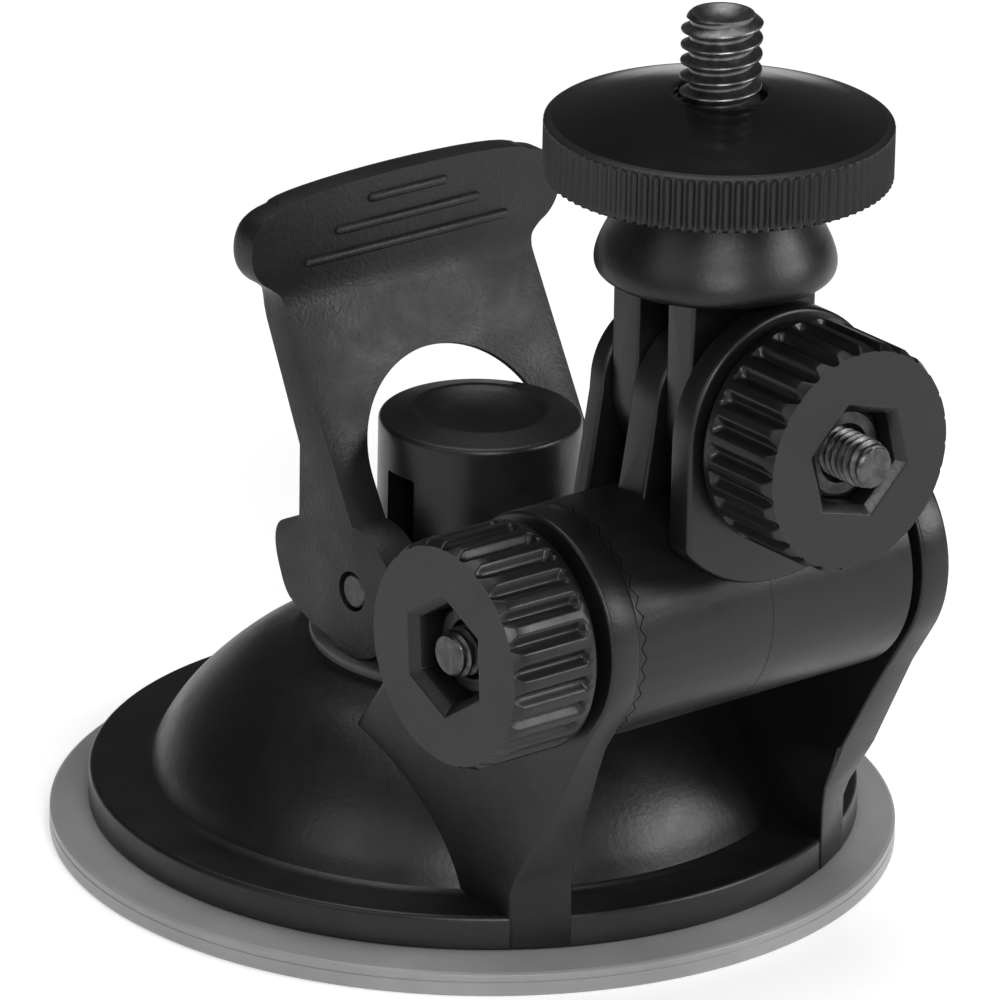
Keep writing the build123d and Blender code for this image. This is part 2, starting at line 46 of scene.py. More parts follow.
# ------------------------------------------------------------------ CAD sizes, mm
AXIS_Y = -28.4
BARREL_Z = 30.4
BARREL_R = 9.4
FORK_Z = 46.2
PIN_Z = 23.3
KNOB_R = 9.1
KNOB_FACE_R = 8.7
KNOB_LENGTH = 8.0
KNOB_RIM = 0.9
FLUTES = 26
BOLT_R = 1.98
BOLT_PITCH = 0.7
THREAD_DEPTH = 0.47
HEX_AF = 7.0
HEX_CHAMFER = 0.94      # chamfer circle of a hex head or nut, as a share of its width
BOLT_HEAD_T = 2.8
NUT_T = 3.2
WASHER_R = 4.5
STUD_R = 3.175          # 1/4 inch - 20 UNC
STUD_CORE_R = 2.76
STUD_PITCH = 1.27
STUD_FOOT = 57.95
STUD_THREAD = 69.75
STUD_TOP = 77.3
PIN_R = 1.4
PIN_HALF = 12.6
WHEEL_R = 13.55
WHEEL_HOLE_R = 3.5
WHEEL_BOTTOM = 64.15
WHEEL_RIM = 68.65
KNURL_IN = 12.85        # the knurled skin's material starts here
TEETH = 36              # radial teeth between the barrel's end and the left ear
TOOTH_DEPTH = 0.5
EAR_OUT = 17.0
EAR_IN = 14.2
FOOT_IN = 12.7
FLANGE_R = 31.0
FLANGE_LOW = 2.6
FLANGE_TOP = 5.4
PLATEAU_R = 14.2
PLATEAU_Z = 16.9
POST_R = 8.15
POST_TOP = 36.1
BORE_R = 5.08
SHOULDER_Z = 35.6

# local +Z of each of these points along its bolt, the stud or the barrel
ALONG_TILT = Matrix.Translation((0, AXIS_Y, BARREL_Z)) @ Matrix(
    ((0, 0, -1, 0), (1, 0, 0, 0), (0, -1, 0, 0), (0, 0, 0, 1)))
ALONG_FORK = Matrix.Translation((0, 0, FORK_Z)) @ Matrix(
    ((1, 0, 0, 0), (0, 0, -1, 0), (0, 1, 0, 0), (0, 0, 0, 1)))
ALONG_STUD = Matrix.Translation((0, AXIS_Y, 0))
ALONG_BARREL = Matrix.Translation((0, AXIS_Y, BARREL_Z)) @ Matrix.Rotation(math.pi / 2, 4, "Y")


# ------------------------------------------------------------------ mesh helpers
def arc(cx, cy, r, a0, a1, n):
    """Points of an arc, angles in degrees."""
    return [(cx + r * math.cos(math.radians(a0 + (a1 - a0) * i / n)),
             cy + r * math.sin(math.radians(a0 + (a1 - a0) * i / n))) for i in range(n + 1)]


def rounded(points, radii, steps=5):
    """An open outline with its inner corners rounded to the given radii."""
    out = [points[0]]
    for i in range(1, len(points) - 1):
        r = radii.get(i, 0)
        p = Vector(points[i])
        a = Vector(points[i - 1]) - p
        b = Vector(points[i + 1]) - p
        if r <= 0 or a.length == 0 or b.length == 0:
            out.append(points[i])
            continue
        half = a.angle(b) / 2
        back = min(r / math.tan(half), a.length * 0.49, b.length * 0.49)
        p0, p2 = p + a.normalized() * back, p + b.normalized() * back
        for k in range(steps + 1):
            t = k / steps
            q = p0 * (1 - t) ** 2 + p * 2 * t * (1 - t) + p2 * t ** 2
            out.append((q.x, q.y))
    out.append(points[-1])
    return out


def smooth_curve(points, steps=8):
    """Catmull-Rom curve through the points."""
    pts = [Vector(p) for p in points]
    pts = [pts[0] * 2 - pts[1]] + pts + [pts[-1] * 2 - pts[-2]]
    out = []
    for i in range(1, len(pts) - 2):
        p0, p1, p2, p3 = pts[i - 1:i + 3]
        for k in range(steps):
            t = k / steps
            q = 0.5 * (2 * p1 + (p2 - p0) * t + (2 * p0 - 5 * p1 + 4 * p2 - p3) * t ** 2
                       + (3 * p1 - p0 - 3 * p2 + p3) * t ** 3)
            out.append((q.x, q.y))
    out.append((pts[-2].x, pts[-2].y))
    return out


def grid_solid(rings, matrix=None, caps=True):
    """A solid from rings of equal length; a ring of one point is a pole."""
    bm = bmesh.new()
    made = [[bm.verts.new(p) for p in ring] for ring in rings]
    for a, b in zip(made, made[1:]):
        n = max(len(a), len(b))
        for i in range(n):
            j = (i + 1) % n
            if len(a) == 1:
                bm.faces.new((a[0], b[j], b[i]))
            elif len(b) == 1:
                bm.faces.new((a[i], a[j], b[0]))
            else:
                bm.faces.new((a[i], a[j], b[j], b[i]))
    if caps and len(made[0]) > 1:
        bm.faces.new(list(reversed(made[0])))
    if caps and len(made[-1]) > 1:
        bm.faces.new(made[-1])
    if matrix is not None:
        bm.transform(matrix)
    bmesh.ops.recalc_face_normals(bm, faces=bm.faces)
    return bm


def lathe(profile, segments, matrix=None, radius=None):
    """Revolves (r, z) points about Z. radius(r, z, angle) may change a point's (r, z)."""
    rings = []
    for r, z in profile:
        if r < 1e-6:
            rings.append([(0, 0, z)])
            continue
        ring = []
        for i in range(segments):
            a = TAU * i / segments
            rr, zz = radius(r, z, a) if radius else (r, z)
            ring.append((rr * math.cos(a), rr * math.sin(a), zz))
        rings.append(ring)
    return grid_solid(rings, matrix)


def tube(profile, segments, matrix=None):
    """Revolves a closed loop of (r, z) points that never meets the axis."""
    bm = bmesh.new()
    loops = [[bm.verts.new((r * math.cos(TAU * i / segments), r * math.sin(TAU * i / segments), z))
              for i in range(segments)] for r, z in profile]
    for a, b in zip(loops, loops[1:] + loops[:1]):
        for i in range(segments):
            j = (i + 1) % segments
            bm.faces.new((a[i], a[j], b[j], b[i]))
    if matrix is not None:
        bm.transform(matrix)
    bmesh.ops.recalc_face_normals(bm, faces=bm.faces)
    return bm


def prism(outline, low, high, plane, bevel=0.0, far=None):
    """Extrudes an outline, or blends it to the far one. YZ runs along X, XZ along Y, XY along Z."""
    place = {"YZ": lambda u, v, w: (w, u, v), "XZ": lambda u, v, w: (u, w, v),
             "XY": lambda u, v, w: (u, v, w)}[plane]
    bm = bmesh.new()
    a = [bm.verts.new(place(u, v, low)) for u, v in outline]
    b = [bm.verts.new(place(u, v, high)) for u, v in far or outline]
    bm.faces.new(a)
    bm.faces.new(list(reversed(b)))
    n = len(a)
    for i in range(n):
        bm.faces.new((a[i], b[i], b[(i + 1) % n], a[(i + 1) % n]))
    bmesh.ops.recalc_face_normals(bm, faces=bm.faces)
    if bevel:
        bevel_edges(bm, bevel)
    return bm


def bevel_edges(bm, width, angle=35):
    """Rounds every edge sharper than the angle."""
    limit = math.radians(angle)
    edges = [e for e in bm.edges if len(e.link_faces) == 2 and e.calc_face_angle() > limit]
    bmesh.ops.bevel(bm, geom=edges, offset=width, offset_type="OFFSET", segments=3,
                    profile=0.5, affect="EDGES", clamp_overlap=True)


def combine(first, second, how):
    """Boolean of two solids; how is UNION, DIFFERENCE or INTERSECT. Both are used up."""
    objects = []
    for bm in (first, second):
        mesh = bpy.data.meshes.new("tool")
        bm.to_mesh(mesh)
        bm.free()
        ob = bpy.data.objects.new("tool", mesh)
        bpy.context.scene.collection.objects.link(ob)
        objects.append(ob)
    mod = objects[0].modifiers.new("cut", "BOOLEAN")
    mod.operation = how
    mod.object = objects[1]
    mod.solver = "EXACT"
    bpy.context.view_layer.update()
    done = objects[0].evaluated_get(bpy.context.evaluated_depsgraph_get()).to_mesh()
    out = bmesh.new()
    out.from_mesh(done)
    for ob in objects:
        mesh = ob.data
        bpy.data.objects.remove(ob)
        bpy.data.meshes.remove(mesh)
    bmesh.ops.remove_doubles(out, verts=out.verts, dist=1e-4)
    return out


def append(bm, other):
    """Adds another solid's faces to this one, without a boolean."""
    mesh = bpy.data.meshes.new("tool")
    other.to_mesh(mesh)
    other.free()
    bm.from_mesh(mesh)
    bpy.data.meshes.remove(mesh)
    return bm


def piece(bm, name, body, material, nodes, sharp=32):
    """Makes the object in metres, smooth but for edges sharper than the angle."""
    bm.transform(Matrix.Scale(MM, 4))
    bmesh.ops.remove_doubles(bm, verts=bm.verts, dist=1e-7)
    mesh = bpy.data.meshes.new(name)
    bm.to_mesh(mesh)
    bm.free()
    mesh.shade_smooth()
    mesh.set_sharp_from_angle(angle=math.radians(sharp))
    ob = bpy.data.objects.new(name, mesh)
    bpy.context.scene.collection.objects.link(ob)
    mesh.materials.append(material)
    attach(ob, body)
    if nodes:
        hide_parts(*nodes)
    return ob


# ------------------------------------------------------------------ materials
PLASTIC_SPECULAR = 0.36


def node_material(name):
    """A new material, its tree, its shader and its object coordinates."""
    mat = bpy.data.materials.new(name)
    mat.use_nodes = True
    tree = mat.node_tree
    shader = tree.nodes["Principled BSDF"]
    coord = tree.nodes.new("ShaderNodeTexCoord")
    return mat, tree, shader, coord


def noise(tree, coord, scale, detail, rough, distort=0.0):
    """A noise texture fixed to the object."""
    n = tree.nodes.new("ShaderNodeTexNoise")
    n.inputs["Scale"].default_value = scale
    n.inputs["Detail"].default_value = detail
    n.inputs["Roughness"].default_value = rough
    n.inputs["Distortion"].default_value = distort
    tree.links.new(coord.outputs["Object"], n.inputs["Vector"])
    return n


def ramp(tree, source, stops):
    """A colour ramp of (position, grey or colour) stops."""
    r = tree.nodes.new("ShaderNodeValToRGB")
    while len(r.color_ramp.elements) < len(stops):
        r.color_ramp.elements.new(0.5)
    for e, (pos, value) in zip(r.color_ramp.elements, stops):
        e.position = pos
        e.color = (*value, 1) if isinstance(value, tuple) else (value, value, value, 1)
    tree.links.new(source, r.inputs["Fac"])
    return r.outputs["Color"]


def bump(tree, source, strength, distance, normal=None):
    """Relief on the surface, on top of another bump where one is given."""
    b = tree.nodes.new("ShaderNodeBump")
    b.inputs["Strength"].default_value = strength
    b.inputs["Distance"].default_value = distance
    tree.links.new(source, b.inputs["Height"])
    if normal is not None:
        tree.links.new(normal, b.inputs["Normal"])
    return b.outputs["Normal"]


def plastic(name, dark, light, rough_low, rough_high, grain, grain_depth, wave=1.0):
    """Moulded plastic: a fine spark-eroded grain, faint flow marks and handling smudges."""
    mat, tree, shader, coord = node_material(name)
    flow = noise(tree, coord, 90, 4, 0.6, 0.6)
    tree.links.new(ramp(tree, flow.outputs["Fac"], [(0.35, dark), (0.7, light)]),
                   shader.inputs["Base Color"])
    smudge = noise(tree, coord, 160, 5, 0.65, 0.3)
    tree.links.new(ramp(tree, smudge.outputs["Fac"], [(0.3, rough_low), (0.7, rough_high)]),
                   shader.inputs["Roughness"])
    fine = noise(tree, coord, grain, 2, 0.6)
    soft = noise(tree, coord, 260, 2, 0.5)
    first = bump(tree, soft.outputs["Fac"], 0.12 * wave, 0.0002)
    tree.links.new(bump(tree, fine.outputs["Fac"], grain_depth, 0.00006, first),
                   shader.inputs["Normal"])
    shader.inputs["Specular IOR Level"].default_value = PLASTIC_SPECULAR
    return mat


def metal(name, dark, light, rough_low, rough_high, scratch):
    """Plated or blackened steel with fine scratches and a patchy finish."""
    mat, tree, shader, coord = node_material(name)
    shader.inputs["Metallic"].default_value = 1.0
    patch = noise(tree, coord, 900, 5, 0.65, 0.4)
    tree.links.new(ramp(tree, patch.outputs["Fac"], [(0.35, dark), (0.68, light)]),
                   shader.inputs["Base Color"])
    wear = noise(tree, coord, 1500, 4, 0.7)
    tree.links.new(ramp(tree, wear.outputs["Fac"], [(0.3, rough_low), (0.7, rough_high)]),
                   shader.inputs["Roughness"])
    fine = noise(tree, coord, 4200, 3, 0.7, 0.5)
    tree.links.new(bump(tree, fine.outputs["Fac"], scratch, 0.00005), shader.inputs["Normal"])
    return mat


def soft_pvc(name):
    """Translucent grey soft PVC, smooth and slightly clouded."""
    mat, tree, shader, coord = node_material(name)
    cloud = noise(tree, coord, 60, 4, 0.6, 0.4)
    tree.links.new(ramp(tree, cloud.outputs["Fac"],
                        [(0.3, (0.19, 0.19, 0.194)), (0.75, (0.255, 0.255, 0.26))]),
                   shader.inputs["Base Color"])
    film = noise(tree, coord, 240, 4, 0.6)
    tree.links.new(ramp(tree, film.outputs["Fac"], [(0.3, 0.28), (0.7, 0.42)]),
                   shader.inputs["Roughness"])
    soft = noise(tree, coord, 420, 3, 0.5)
    tree.links.new(bump(tree, soft.outputs["Fac"], 0.1, 0.00012), shader.inputs["Normal"])
    shader.inputs["Subsurface Weight"].default_value = 0.35
    shader.inputs["Subsurface Radius"].default_value = (1.0, 1.0, 1.0)
    shader.inputs["Subsurface Scale"].default_value = 0.0015
    shader.inputs["IOR"].default_value = 1.5
    return mat


DEEP = (0.0025, 0.0025, 0.0027)
DARK = (0.0045, 0.0045, 0.0047)
BLACK = plastic("black_abs", DEEP, DARK, 0.3, 0.44, 2600, 0.25)
SATIN = plastic("black_abs_satin", DEEP, DARK, 0.3, 0.44, 2200, 0.3)
GRAINED = plastic("black_abs_grained", DARK, (0.008, 0.008, 0.0082), 0.4, 0.58, 2900, 0.85)
GLOSS = plastic("black_gloss", (0.003, 0.003, 0.0032), DARK, 0.1, 0.2, 2600, 0.06, 0.5)
KNURL = plastic("black_knurl", (0.004, 0.004, 0.0042), (0.009, 0.009, 0.0092), 0.36, 0.52, 2400, 0.5)
RING = plastic("grey_ring", (0.06, 0.06, 0.062), (0.1, 0.1, 0.102), 0.34, 0.5, 1500, 0.25)
PVC = soft_pvc("soft_pvc")
ZINC = metal("zinc_steel", (0.22, 0.22, 0.225), (0.36, 0.36, 0.365), 0.3, 0.46, 0.25)
CLAMP_STEEL = metal("clamp_steel", (0.05, 0.05, 0.051), (0.11, 0.11, 0.112), 0.28, 0.46, 0.4)
BLACKENED = metal("blackened_steel", (0.09, 0.09, 0.092), (0.2, 0.2, 0.203), 0.26, 0.44, 0.4)
PIN_STEEL = metal("pin_steel", (0.055, 0.055, 0.057), (0.1, 0.1, 0.102), 0.34, 0.5, 0.3)
NUT_STEEL = metal("nut_steel", (0.04, 0.04, 0.041), (0.09, 0.09, 0.092), 0.38, 0.54, 0.4)
BRASS = metal("brass", (0.52, 0.36, 0.14), (0.68, 0.49, 0.21), 0.25, 0.4, 0.2)


# ------------------------------------------------------------------ housing
def housing():
    """Flange, dome, guide post and two webs, with the bore, the pin's slot and a hex recess."""
    dome = smooth_curve([(26.2, FLANGE_TOP), (25.25, 7.6), (23.5, 10.2), (20.9, 12.9), (17.9, 15.2),
                         (PLATEAU_R + 0.2, PLATEAU_Z - 0.05)])
    outline = [(0, FLANGE_LOW), (FLANGE_R - 0.1, FLANGE_LOW)]
    outline += [(FLANGE_R, 2.75)] + arc(FLANGE_R - 0.45, FLANGE_TOP - 0.45, 0.45, 0, 90, 5)
    outline += [(26.9, FLANGE_TOP), (26.45, FLANGE_TOP + 0.08)] + dome[1:]
    outline += [(PLATEAU_R - 0.3, PLATEAU_Z), (POST_R + 0.35, PLATEAU_Z), (POST_R + 0.08, PLATEAU_Z + 0.1),
                (POST_R, PLATEAU_Z + 0.35)]
    outline += rounded([(POST_R, SHOULDER_Z - 1.2), (POST_R, SHOULDER_Z - 0.1), (7.3, SHOULDER_Z + 0.08),
                        (5.55, POST_TOP), (5.2, POST_TOP - 0.07), (4.75, POST_TOP - 0.34),
                        (3.7, POST_TOP - 0.78), (2.2, POST_TOP - 1.02), (0, POST_TOP - 1.1)],
                       {1: 0.75, 2: 0.6, 3: 0.35, 4: 0.3, 5: 0.7}, 6)
    body = lathe(outline, 224)
    back = (-6.2, 15.2)
    reach = math.hypot(back[0] - AXIS_Y, back[1] - BARREL_Z)
    lean = math.atan2(back[1] - BARREL_Z, back[0] - AXIS_Y) + math.acos(BARREL_R / reach)
    ear = arc(AXIS_Y, BARREL_Z, BARREL_R, math.degrees(lean), 213, 40)
    rest = list(reversed(ear)) + [back, (back[0], FLANGE_LOW)]
    outer = [(-26.08, FLANGE_LOW), (-26.08, 7.4), (-26.7, 8.8), (-29.6, 13.2), (-33.9, 21.6)] + rest
    inner = [(-28.46, FLANGE_LOW), (-28.46, 8.0), (-28.64, 9.8), (-30.2, 13.8), (-33.9, 21.6)] + rest
    for s in (-1, 1):
        web = prism(outer, s * EAR_OUT, s * FOOT_IN, "YZ", far=inner)
        wedge = [(s * EAR_IN, 45), (s * EAR_IN, 22), (s * FOOT_IN, 12), (s * (FOOT_IN - 1), 12),
                 (s * (FOOT_IN - 1), 45)]
        web = combine(web, prism(wedge, -45, 0, "XZ"), "DIFFERENCE")
        bevel_edges(web, 0.3, 30)
        body = combine(body, web, "UNION")
    bore = lathe([(0, 12), (BORE_R, 12), (BORE_R, 32.1), (0, 32.1)], 96)
    body = combine(body, bore, "DIFFERENCE")
    slot = prism(rounded_box(0, 26.75, 3.3, 10.7, 0.25), -9.5, 9.5, "YZ")
    body = combine(body, slot, "DIFFERENCE")
    corner = HEX_AF / 2 / math.cos(math.pi / 6) + 0.12
    pocket = lathe([(0, 16.0), (corner, 16.0), (corner, 20), (0, 20)], 6,
                   ALONG_TILT @ Matrix.Rotation(math.pi, 4, "X") @ Matrix.Rotation(math.pi / 6, 4, "Z"))
    return combine(body, pocket, "DIFFERENCE")


def rounded_box(cu, cv, w, h, r):
    """Outline of a rectangle about (cu, cv) with round corners."""
    out = []
    for su, sv, a in ((1, 1, 0), (-1, 1, 90), (-1, -1, 180), (1, -1, 270)):
        out += arc(cu + su * (w / 2 - r), cv + sv * (h / 2 - r), r, a, a + 90, 4)
    return out


piece(housing(), "housing", "base", SATIN, ["base_housing"])
piece(tube(rounded([(POST_R + 0.25, PLATEAU_Z - 0.05), (13.4, PLATEAU_Z - 0.05), (13.4, PLATEAU_Z + 0.7),
                    (POST_R + 0.25, PLATEAU_Z + 0.7)], {1: 0.02, 2: 0.25}), 160),
      "wear_ring", "base", RING, ["cam_washer"])

# ------------------------------------------------------------------ cup
CUP = [(11.2, 0.0)] + rounded([(20, 0.0), (33.95, 0.0), (34.1, 0.2), (34.1, 1.15), (34.03, 1.22),
                               (34.1, 1.29), (34.1, 1.8), (33.85, 1.97), (31.5, 2.4), (30.4, 2.58)],
                              {1: 0.1, 2: 0.1, 6: 0.12, 7: 0.12, 8: 0.6}, 3)
CUP += [(14.6, 2.58), (11.2, 1.8)]
piece(tube(CUP, 256), "soft_cup", "base", PVC, ["suction_cup"])


# ------------------------------------------------------------------ hardware
def hex_reach(angle, apothem):
    """Distance from a hexagon's centre to its edge, a corner at angle 0."""
    return apothem / math.cos((angle % (TAU / 6)) - TAU / 12)


def hex_ring(apothem, z, n, turn=0.0):
    """n points round a hexagon at height z."""
    return [(hex_reach(TAU * i / n, apothem) * math.cos(TAU * i / n + turn),
             hex_reach(TAU * i / n, apothem) * math.sin(TAU * i / n + turn), z) for i in range(n)]


def circle_ring(r, z, n, turn=0.0):
    """n points round a circle at height z."""
    return [(r * math.cos(TAU * i / n + turn), r * math.sin(TAU * i / n + turn), z) for i in range(n)]


def hex_crown(apothem, face_r, z, n, turn=0.0):
    """The wavy edge where a hexagon's flats meet its chamfer cone."""
    out = []
    for i in range(n):
        r = hex_reach(TAU * i / n, apothem)
        out.append((r * math.cos(TAU * i / n + turn), r * math.sin(TAU * i / n + turn),
                    z - max(0.0, r - face_r) * math.tan(math.radians(30))))
    return out


def thread(radius, depth, pitch, low, high, matrix, n, lead, cup, ease=1.0):
    """A threaded shank from low to high, with a chamfered and slightly dished end.

    ease below 1 makes the last crests shallow, as a rolled thread's are."""
    shape = [(0.0, 0.0), (0.1, 0.04), (0.27, 0.45), (0.42, 0.95), (0.5, 1.0), (0.58, 0.95), (0.73, 0.45),
             (0.9, 0.04)]
    turns = int((high - low) / pitch) + 3
    strips = []
    for i in range(n):
        a = TAU * i / n
        strip = []
        for k in range(-len(shape), turns * len(shape)):
            t, h = shape[k % len(shape)]
            z = low + pitch * (k // len(shape) + t + i / n)
            z = min(max(z, low), high)
            r = radius - depth * (1 - h)
            behind = high - z
            r = min(r, radius - lead + min(behind, 0.2) + ease * max(0.0, behind - 0.2))
            strip.append((r * math.cos(a), r * math.sin(a), z))
        strips.append(strip)
    bm = bmesh.new()
    verts = [[bm.verts.new(p) for p in s] for s in strips]
    m = len(shape)
    rows = len(verts[0])
    for i in range(n):
        j = (i + 1) % n
        shift = m if j == 0 else 0
        for k in range(rows - 1):
            if k + shift + 1 < rows:
                bm.faces.new((verts[i][k], verts[j][k + shift], verts[j][k + shift + 1], verts[i][k + 1]))
    end = [(radius - lead, high), (radius - lead - 0.25, high), (radius * 0.45, high - cup * 0.6),
           (0, high - cup)]
    append(bm, lathe([(0, high - 0.9), (radius - lead - 0.02, high - 0.9)] + end, n))
    bmesh.ops.remove_doubles(bm, verts=bm.verts, dist=1e-4)
    bmesh.ops.dissolve_degenerate(bm, edges=bm.edges, dist=1e-5)
    bmesh.ops.recalc_face_normals(bm, faces=bm.faces)
    bm.transform(matrix)
    return bm


def bolt(seat, end, along):
    """Hex-head M4 bolt: its head below the seat, its threaded end at end."""
    n = 72
    apothem = HEX_AF / 2
    face_r = apothem * HEX_CHAMFER
    low = seat - BOLT_HEAD_T
    rings = [[(0, 0, low + 0.25)], circle_ring(face_r * 0.62, low + 0.22, n),
             circle_ring(face_r * 0.7, low, n), circle_ring(face_r, low, n)]
    rings.append([(x, y, 2 * low - z) for x, y, z in hex_crown(apothem, face_r, low, n)])
    rings += [hex_ring(apothem, seat - 0.05, n), hex_ring(apothem - 0.1, seat, n),
              circle_ring(BOLT_R, seat, n), circle_ring(BOLT_R, end - 5.0, n), [(0, 0, end - 5.0)]]
    head = grid_solid(rings, along)
    shank = thread(BOLT_R, THREAD_DEPTH, BOLT_PITCH, end - 6.5, end, along, n, 0.48, 0.08, 0.25)
    return append(head, shank)


def nut(low, turn, along):
    """M4 nut, chamfered on both faces, from low to its thickness above."""
    n = 144
    apothem = HEX_AF / 2
    high = low + NUT_T
    face_r = apothem * HEX_CHAMFER
    rings = [circle_ring(BOLT_R + 0.07, low, n, turn), circle_ring(face_r, low, n, turn)]
    rings.append([(x, y, 2 * low - z) for x, y, z in hex_crown(apothem, face_r, low, n, turn)])
    rings += [hex_crown(apothem, face_r, high, n, turn), circle_ring(face_r, high, n, turn),
              circle_ring(BOLT_R + 0.42, high, n, turn), circle_ring(BOLT_R + 0.14, high - 0.5, n, turn),
              circle_ring(BOLT_R + 0.07, low, n, turn)]
    bm = grid_solid(rings, along, False)
    bmesh.ops.remove_doubles(bm, verts=bm.verts, dist=1e-4)
    return bm


def knob(back, nut_depth, turn, along):
    """Hand knob with scooped grooves, a plain back rim and a hex recess in its face."""
    n = FLUTES * 20
    apothem = (HEX_AF + 0.3) / 2
    face = back + KNOB_LENGTH
    depth = 0.68
    half_width = 0.35
    bevel = 0.85
    floor = face - nut_depth - 0.9

    def groove(i, z):
        off = abs((i * FLUTES / n) % 1.0 - 0.5) / half_width
        run_in = min(max((z - back - KNOB_RIM) / 0.5, 0.0), 1.0)
        run_out = 1 - 0.3 * max(0.0, (z - face + bevel) / bevel)
        scoop = 0.5 + 0.5 * math.cos(math.pi * min(off, 1.0))
        return depth * run_out * scoop ** 0.8 * math.sin(run_in * math.pi / 2)

    def wall(z):
        t = max(0.0, (z - face + bevel) / bevel)
        body = KNOB_R - (KNOB_R - KNOB_FACE_R) * t ** 1.15
        radii = [min(body, KNOB_R - groove(i, z)) for i in range(n)]
        return [(r * math.cos(TAU * i / n + turn), r * math.sin(TAU * i / n + turn), z)
                for i, r in enumerate(radii)]

    rings = [circle_ring(BOLT_R + 0.1, back, n, turn), circle_ring(KNOB_R - 1.4, back, n, turn),
             circle_ring(KNOB_R - 0.3, back, n, turn), circle_ring(KNOB_R, back + 0.3, n, turn),
             circle_ring(KNOB_R, back + KNOB_RIM, n, turn)]
    rings += [wall(back + KNOB_RIM + 0.5 * (k / 6) ** 1.4) for k in range(1, 7)]
    rings += [wall(z) for z in (back + 3.0, back + 4.5, back + 6.0)]
    rings += [wall(face - bevel + bevel * k / 10) for k in range(11)]
    rings += [circle_ring(KNOB_FACE_R - 0.12, face, n, turn), hex_ring(apothem + 0.8, face, n, turn),
              hex_ring(apothem + 0.7, face, n, turn),
              hex_ring(apothem + 0.62, face - 0.05, n, turn), hex_ring(apothem + 0.05, face - 0.6, n, turn),
              hex_ring(apothem, face - 0.66, n, turn),
              hex_ring(apothem, floor, n, turn), circle_ring(BOLT_R + 0.1, floor, n, turn),
              circle_ring(BOLT_R + 0.1, back, n, turn)]
    bm = grid_solid(rings, along, False)
    bmesh.ops.remove_doubles(bm, verts=bm.verts, dist=1e-4)
    return bm


def washer(low, high, along):
    """Flat washer with its outer edges broken."""
    edge = WASHER_R - 0.1
    loop = [(BOLT_R + 0.17, low), (edge, low), (WASHER_R, low + 0.1), (WASHER_R, high - 0.1), (edge, high),
            (BOLT_R + 0.17, high)]
    return tube(loop, 96, along)


def clamp(side, holder, along, head_seat, end, washer_low, back, nut_depth, degrees):
    """One clamp: its bolt on the holder, and the knob, nut and washer that turn on it."""
    turn = math.radians(degrees)
    nut_low = back + KNOB_LENGTH - nut_depth - NUT_T
    spin = f"{side}_knob"
    piece(bolt(head_seat, end, along), f"{side}_bolt_m4", holder, CLAMP_STEEL,
          [f"{side}_bolt"], 28)
    piece(knob(back, nut_depth, turn, along), f"{side}_hand_knob", spin, BLACK,
          [f"{side}_knob"], 55)
    piece(nut(nut_low, turn, along), f"{side}_hex_nut", spin, NUT_STEEL,
          [f"{side}_nut"], 28)
    piece(washer(washer_low, back, along), f"{side}_flat_washer", spin, ZINC,
          [f"{side}_washer"])


clamp("tilt", "base", ALONG_TILT, -16.0, 25.7, EAR_OUT + 0.05, 18.1, 2.5, -26)
clamp("fork", "arm", ALONG_FORK, 22.4, 48.0, 37.35, 38.1, 1.9, 45)

screw = thread(STUD_R, 0.74, STUD_PITCH, STUD_THREAD, STUD_TOP, ALONG_STUD, 96, 0.7, 0.75)
core_top = STUD_THREAD + 0.05
core = [(0, STUD_FOOT), (STUD_CORE_R, STUD_FOOT), (STUD_CORE_R, core_top), (0, core_top)]
piece(append(screw, lathe(core, 96, ALONG_STUD)), "camera_screw", "head", BLACKENED,
      ["camera_stud"], 28)

PIN = rounded([(0, -PIN_HALF), (PIN_R, -PIN_HALF), (PIN_R, PIN_HALF), (0, PIN_HALF)],
              {1: 0.25, 2: 0.25}, 4)
piece(lathe(PIN, 48, Matrix.Translation((0, 0, PIN_Z - 0.04)) @ Matrix.Rotation(math.pi / 2, 4, "Y")),
      "pivot_pin", "plunger", PIN_STEEL, ["lever_pin"])


# ------------------------------------------------------------------ lock wheel
def wheel():
    """Lock wheel: a straight knurl of narrow ridges under a shallow cone."""
    teeth = 92
    per_tooth = 10
    heights = [1.0, 0.82, 0.42, 0.14, 0.03, 0.0, 0.03, 0.14, 0.42, 0.82]
    n = teeth * per_tooth
    bottom = WHEEL_BOTTOM
    rim = WHEEL_RIM

    def ring(r, z):
        edge = min(1.0, max(0.0, (rim - 0.2 - z) / 0.4)) ** 0.5
        radii = [r - 0.42 * edge * (1 - heights[i % per_tooth]) if r > 13.2 else r for i in range(n)]
        return [(v * math.cos(TAU * i / n), v * math.sin(TAU * i / n), z) for i, v in enumerate(radii)]

    outer = [(4.5, bottom), (13.1, bottom), (13.4, bottom + 0.06), (WHEEL_R, bottom + 0.25), (WHEEL_R, 66.0),
             (WHEEL_R, 67.8)]
    outer += [(WHEEL_R, z) for z in (68.05, 68.15, 68.25, 68.35, 68.42)]
    outer += [(13.5, 68.5), (13.38, rim - 0.06), (13.15, rim), (12.9, rim + 0.06)]
    outer += smooth_curve([(12.3, 68.85), (10.6, 69.3), (8.6, 69.82), (6.2, 70.38), (4.1, 70.82)], 4)
    outer += [(3.85, 70.86), (3.65, 70.8), (WHEEL_HOLE_R, 70.55), (WHEEL_HOLE_R, 69.72), (4.5, 69.72),
              (4.5, bottom)]
    bm = grid_solid([ring(r, z) for r, z in outer], ALONG_STUD, False)
    bmesh.ops.remove_doubles(bm, verts=bm.verts, dist=1e-4)
    return bm


